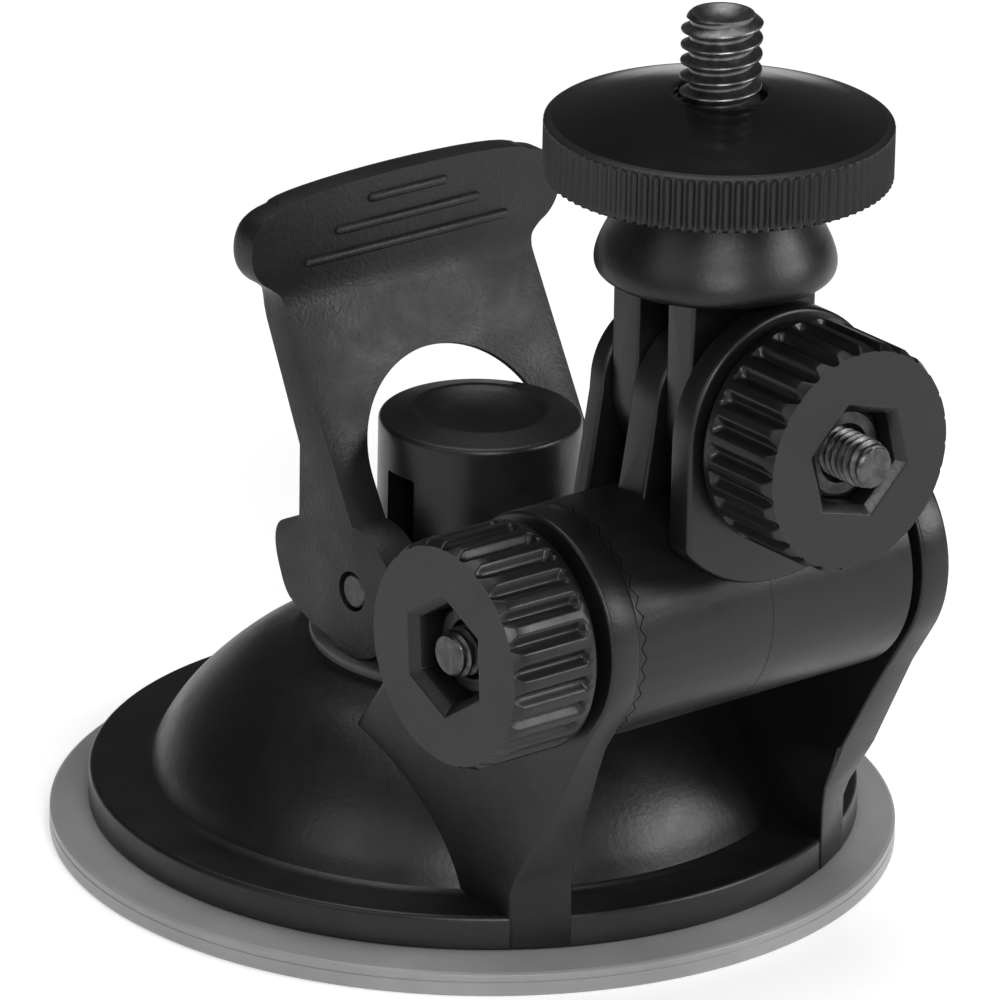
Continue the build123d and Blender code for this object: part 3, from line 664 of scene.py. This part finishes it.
disc = piece(wheel(), "knurled_wheel", "lock_wheel", GLOSS, ["lock_wheel"], 40)
disc.data.materials.append(KNURL)
for face in disc.data.polygons:
    if math.hypot(face.center.x, face.center.y - AXIS_Y * MM) > KNURL_IN * MM:
        face.material_index = 1
INSERT = [(2.83, WHEEL_BOTTOM), (4.48, WHEEL_BOTTOM), (4.48, 69.7), (3.3, 69.7), (2.83, 69.3)]
piece(tube(INSERT, 96, ALONG_STUD), "thread_insert", "lock_wheel", BRASS,
      ["wheel_insert"])


# ------------------------------------------------------------------ head and arm
def prong(half_top, half_foot, foot_z, z_low, y_low, y_high):
    """A flat tongue on the fork bolt's axis, round above and straight below."""
    top = arc(0, FORK_Z, half_top, 0, 180, 36)
    out = top + [(-half_foot, foot_z), (-half_foot, z_low), (half_foot, z_low), (half_foot, foot_z)]
    return prism(out, y_low, y_high, "XZ", 0.3)


def camera_head():
    """The round head under the wheel, on the two tongues that the fork holds."""
    bulb = [(0, 56.35), (8.5, 56.35)]
    bulb += smooth_curve([(8.85, 56.37), (9.2, 56.62), (9.4, 57.1), (9.38, 57.8), (9.15, 58.6), (8.85, 59.3),
                          (8.45, 60.1), (8.0, 61.1), (7.55, 62.3), (7.1, 63.7)], 4)
    bulb += [(7.0, 63.95), (0, 63.95)]
    bm = lathe(bulb, 144, ALONG_STUD)
    for far in (AXIS_Y + 4.9, AXIS_Y - 1.7):
        tongue = arc(0, FORK_Z, 6.1, 180, 360, 36) + [(6.2, 58.2), (-6.2, 58.2)]
        bm = combine(bm, prism(tongue, far, far - 3.2, "XZ", 0.3), "UNION")
    return bm


def arm():
    """The tilt barrel, toothed at its left end, with the fork, its wide front cheek and a boss."""
    def teeth(r, x, a):
        if x > -13.5 or r < 6.0:
            return r, x
        phase = (a * TEETH / TAU) % 1.0
        return r, x - TOOTH_DEPTH * (1 - abs(phase - 0.5) * 2)

    out = [(0, -13.6), (6.2, -13.6), (9.36, -13.6), (9.4, -13.4), (9.4, -1.2), (9.4, -1.06),
           (9.36, -1.0), (9.4, -0.94), (9.4, -0.8), (9.4, 13.1), (9.1, 13.4), (0, 13.4)]
    bm = lathe(out, TEETH * 8, ALONG_BARREL, teeth)
    for far, thick in ((AXIS_Y + 6.7, 1.7), (AXIS_Y + 1.6, 3.2), (AXIS_Y - 5.0, 1.7)):
        bm = combine(bm, prong(6.9, 8.4, 37, 33, far, far - thick), "UNION")
    front = AXIS_Y - 6.7
    corner = math.degrees(math.acos(9.5 / 12.7))
    cheek = arc(0, FORK_Z, 9.5, 0, 180, 48) + arc(0, FORK_Z, 12.7, 180 + corner, 360 - corner, 24)
    bm = combine(bm, prism(cheek, front + 0.2, front - 2.2, "XZ", 0.35), "UNION")
    boss = rounded([(0, 21.8), (5.6, 21.8), (5.6, 20.2), (4.75, 20.2), (4.75, 21.6)], {2: 0.35, 3: 0.15})
    bm = combine(bm, lathe(boss + [(0, 21.6)], 96, ALONG_FORK), "UNION")
    return bm


piece(camera_head(), "swivel_head", "head", BLACK, ["camera_head"])
piece(arm(), "tilt_arm", "arm", BLACK, ["arm_barrel"])


def ear_teeth():
    """The ring of radial teeth on the left ear, in mesh with the barrel's."""
    n = TEETH * 8
    inside = 6.3
    outside = 9.34
    foot = -14.3

    def face(r):
        return [(r * math.cos(TAU * i / n), r * math.sin(TAU * i / n),
                 -13.68 - TOOTH_DEPTH * (1 - abs((i * TEETH / n) % 1.0 - 0.5) * 2)) for i in range(n)]

    rings = [circle_ring(inside, foot, n), circle_ring(outside, foot, n), face(outside), face(inside),
             circle_ring(inside, foot, n)]
    bm = grid_solid(rings, ALONG_BARREL, False)
    bmesh.ops.remove_doubles(bm, verts=bm.verts, dist=1e-4)
    return bm


piece(ear_teeth(), "ear_teeth", "base", SATIN, (), 20)


# ------------------------------------------------------------------ lever
def lever():
    """The cam lever: side view and front view crossed, then hollowed behind its plate."""
    half = 12.5             # half its width
    gap = 9.1               # radius of the arch that straddles the post
    arch_up = 3.4           # the arch's centre above the plate's foot
    cam_r = 5.5
    thick = 2.2             # the plate
    stand = -0.25           # its place in the side play on the pin
    foot = Vector((0.1, PIN_Z + 5.4))
    head = Vector((9.5, PIN_Z + 21.9))
    up = (head - foot).normalized()
    out = Vector((up.y, -up.x))
    cam = arc(0, PIN_Z, cam_r, 180, 299, 24)
    heel = smooth_curve([(5.2, PIN_Z - 4.3), (8.1, PIN_Z - 3.0), (9.4, PIN_Z - 0.9), (10.0, PIN_Z + 1.2),
                         (9.7, PIN_Z + 2.7), (8.6, PIN_Z + 3.5), (6.95, PIN_Z + 4.1)], 5)
    front = rounded([(12.7, PIN_Z + 31), (9.5, PIN_Z + 31), tuple(head), tuple(foot)], {2: 5.5}, 8)
    side = cam + heel + [(7.0, PIN_Z + 10.3), (12.3, PIN_Z + 21.3), (12.7, PIN_Z + 22.6)] + front
    side += arc(0, PIN_Z, cam_r, 90, 180, 16)[:-1]
    bm = prism(side, -17, 17, "YZ")
    right = [(half, 20.4)] + smooth_curve([(half, 21.2), (12.75, 22.1), (13.55, 22.85), (14.5, 23.5),
                                           (15.25, 24.5), (15.58, 25.8), (15.45, 27.2), (14.85, 28.3),
                                           (13.7, 29.0), (12.3, 29.35)], 4)
    crown = [(12.3 * math.cos(math.pi * k / 16), 29.35 + 1.05 * math.sin(math.pi * k / 16))
             for k in range(1, 16)]
    outline = [(half, -8)] + right + crown + [(-x, z) for x, z in reversed(right)] + [(-half, -8)]
    insets = [(-8, 0), (11.5, 0), (11.95, 0.1), (12.3, 0.28), (12.55, 0.52), (12.68, 0.8), (12.75, 1.1)]
    rings = []
    for y, inset in insets:
        narrow = 1 - inset / 15.6
        lower = 1 - inset / 6.4
        rings.append([(x * narrow, y, PIN_Z + 24 + (z - 24) * lower) for x, z in outline])
    bm = combine(bm, grid_solid(rings), "INTERSECT")
    turn = Matrix(((1, 0, 0, 0), (0, up.x, -up.y, foot.x), (0, up.y, up.x, foot.y), (0, 0, 0, 1)))
    arch = prism(arc(0, arch_up, gap, 0, 180, 56) + [(-gap, -30), (gap, -30)], -30, 14, "XY")
    arch.transform(turn)
    bm = combine(bm, arch, "DIFFERENCE")
    rear_foot = foot + out * thick
    rear_head = head + out * thick
    channel = [tuple(rear_foot), tuple(rear_head), (20, rear_head.y), (20, rear_foot.y - 12),
               (rear_foot.x - 6, rear_foot.y - 12)]
    bm = combine(bm, prism(channel, -half + 2, half - 2, "YZ"), "DIFFERENCE")
    bevel_edges(bm, 0.26, 33)
    flare = prism(arc(0, arch_up, gap + 1.3, 0, 360, 72)[:-1], -8, -0.45, "XY")
    flare.transform(turn)
    bm = combine(bm, flare, "DIFFERENCE")
    across = Matrix.Translation((0, 0, PIN_Z)) @ Matrix.Rotation(math.pi / 2, 4, "Y")
    for r, low, high in ((1.65, -20, -half + 0.9), (1.65, half - 0.9, 20), (1.46, -20, 20)):
        hole = lathe([(0, low), (r, low), (r, high), (0, high)], 48, across)
        bm = combine(bm, hole, "DIFFERENCE")
    for z, reach in ((28.6, 4.0), (26.5, 7.3), (24.4, 10.3)):
        rib = Matrix.Translation((0, 9.5, PIN_Z + z)) @ Matrix.Rotation(math.pi / 2, 4, "Y")
        ends = arc(0, -reach + 0.4, 0.4, -90, 0, 6) + arc(0, reach - 0.4, 0.4, 0, 90, 6)
        ends[0] = (0, ends[0][1])
        ends[-1] = (0, ends[-1][1])
        bm = append(bm, lathe(ends, 24, rib))
    bm.transform(Matrix.Translation((stand, 0, 0)))
    return bm


piece(lever(), "cam_lever", "lever", GRAINED, ["lock_lever"])

# ------------------------------------------------------------------ hidden CAD nodes
for name, mat in (("plunger", BLACK), ("suction_cup_centre", PVC), ("return_spring", ZINC)):
    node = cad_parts[name]
    node.data.materials.clear()
    node.data.materials.append(mat)

# ------------------------------------------------------------------ studio
floor_mesh = bpy.data.meshes.new("floor")
size = 1.6
floor_mesh.from_pydata([(-size, -size, 0), (size, -size, 0), (size, size, 0), (-size, size, 0)], [],
                       [(0, 1, 2, 3)])
floor = bpy.data.objects.new("floor", floor_mesh)
bpy.context.scene.collection.objects.link(floor)
paper, _, shader, _ = node_material("pale_floor")
shader.inputs["Base Color"].default_value = (0.86, 0.86, 0.86, 1)
shader.inputs["Roughness"].default_value = 0.7
shader.inputs["Emission Color"].default_value = (1, 1, 1, 1)
shader.inputs["Emission Strength"].default_value = 0.3
floor_mesh.materials.append(paper)
floor.location.z = -0.00002

world = bpy.data.worlds.new("studio")
bpy.context.scene.world = world
world.use_nodes = True
world.node_tree.nodes["Background"].inputs["Color"].default_value = (1, 1, 1, 1)
world.node_tree.nodes["Background"].inputs["Strength"].default_value = 0.08


def softbox(name, place, width, height, power):
    """A rectangular area light, in metres and watts, turned to the object."""
    data = bpy.data.lights.new(name, "AREA")
    data.shape = "RECTANGLE"
    data.size, data.size_y = width, height
    data.energy = power
    ob = bpy.data.objects.new(name, data)
    bpy.context.scene.collection.objects.link(ob)
    ob.location = place
    ob.rotation_mode = "QUATERNION"
    ob.rotation_quaternion = (AIM - Vector(place)).to_track_quat("-Z", "Y")


AIM = Vector((0, -0.01, 0.03))
softbox("key", (-0.42, -0.74, 0.46), 0.4, 0.4, 5.5)
softbox("left", (-0.62, -0.05, 0.42), 0.4, 0.4, 1.0)
softbox("right", (0.50, -0.60, 0.36), 0.4, 0.3, 4.0)
softbox("top", (0.05, 0.10, 0.80), 0.6, 0.6, 3.2)

# the main viewpoint: angles in degrees, lengths in mm
AZ, EL, ROLL = (math.radians(v) for v in (-39.04058, 21.49271, 1.22534))
TARGET_X = 2.2457
TARGET_Y = 26.2116
DISTANCE = 900.0
LENS = 401.23809
SENSOR = 36
back = Vector((math.sin(AZ) * math.cos(EL), -math.cos(AZ) * math.cos(EL), math.sin(EL)))
flat_right = Vector((math.cos(AZ), math.sin(AZ), 0))
flat_up = back.cross(flat_right)
right = flat_right * math.cos(ROLL) + flat_up * math.sin(ROLL)
up = flat_up * math.cos(ROLL) - flat_right * math.sin(ROLL)
camera = bpy.data.objects.new("camera", bpy.data.cameras.new("camera"))
bpy.context.scene.collection.objects.link(camera)
camera.data.sensor_width = SENSOR
camera.data.lens = LENS
camera.data.clip_start = 0.05
camera.data.clip_end = 10
place = (right * TARGET_X + up * TARGET_Y + back * DISTANCE) * MM
camera.matrix_world = Matrix((
    (right.x, up.x, back.x, place.x), (right.y, up.y, back.y, place.y), (right.z, up.z, back.z, place.z),
    (0, 0, 0, 1)))
bpy.context.scene.camera = camera
bpy.context.scene.view_settings.view_transform = "Standard"
